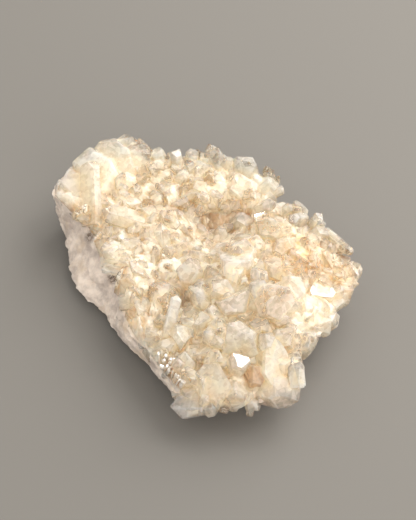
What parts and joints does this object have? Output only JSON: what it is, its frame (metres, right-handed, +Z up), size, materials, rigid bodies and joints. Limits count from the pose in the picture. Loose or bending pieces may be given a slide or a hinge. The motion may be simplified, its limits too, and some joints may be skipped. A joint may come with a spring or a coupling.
{
  "type": "quartz crystal cluster",
  "caption": "Cluster of intergrown clear quartz crystals on a broken plate of milky quartz, lying on its flat underside.",
  "frame": {"origin": "middle of the bounding box, on the flat underside", "axes": "+Z up from the surface it lies on; -Y towards the front, where the largest points stand; +X to the right"},
  "size_m": [0.1114, 0.1098, 0.0369],
  "materials": {
    "matrix": "rough broken milky quartz, greyish white, with brown stain in its cracks",
    "crystals": "glassy flat crystal faces, clear at the tips and milky cream at the roots, iron-stained to the right"
  },
  "bodies": {
    "root": {"matrix": "matrix", "crystals": "crystals"}
  },
  "joints": []
}
